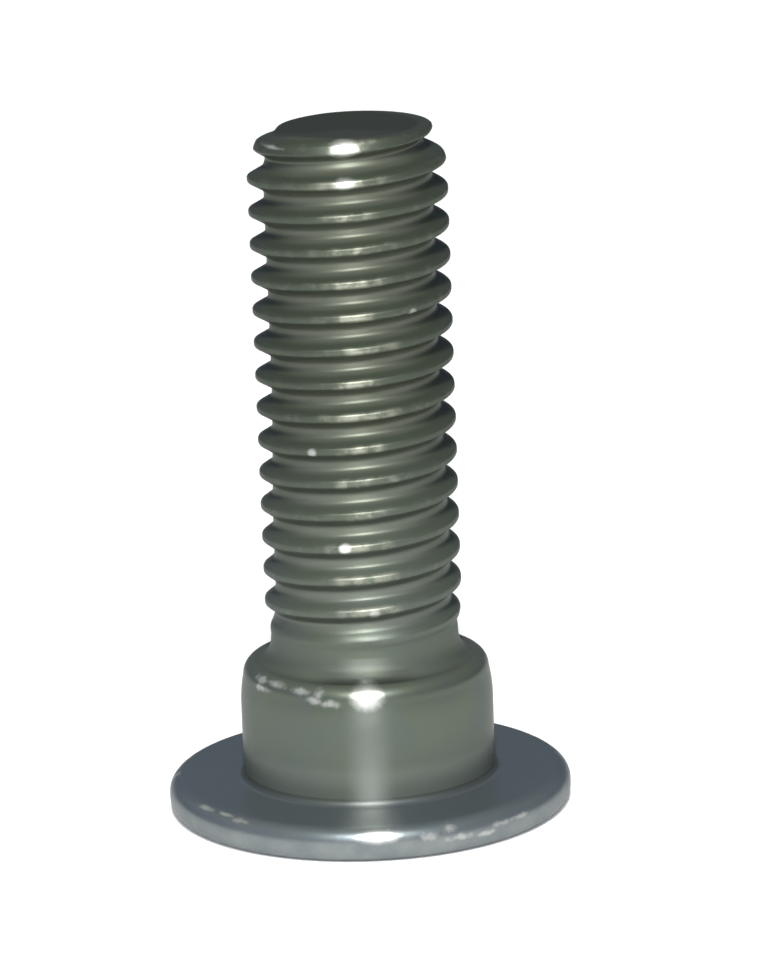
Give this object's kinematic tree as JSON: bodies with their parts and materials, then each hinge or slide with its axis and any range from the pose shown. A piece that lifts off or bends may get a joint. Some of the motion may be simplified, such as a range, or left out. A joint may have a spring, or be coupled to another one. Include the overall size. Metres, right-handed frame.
{
  "type": "brake rotor bolt",
  "caption": "Low-head shoulder bolt: thin wide round head with a hexagon socket, plain round shoulder, filleted neck and a rolled right-hand thread up to a tapered point.",
  "frame": {"origin": "centre of the head's outer face, on the bolt's axis", "axes": "+Z along the bolt's axis from the head to the threaded tip; -Y is the side that the picture shows"},
  "size_m": [0.0122, 0.0122, 0.0211],
  "materials": {
    "coated_steel": "dark greenish grey coating, semi-gloss, worn bright at a few edges"
  },
  "bodies": {
    "root": {"bolt": "coated_steel"}
  },
  "joints": []
}
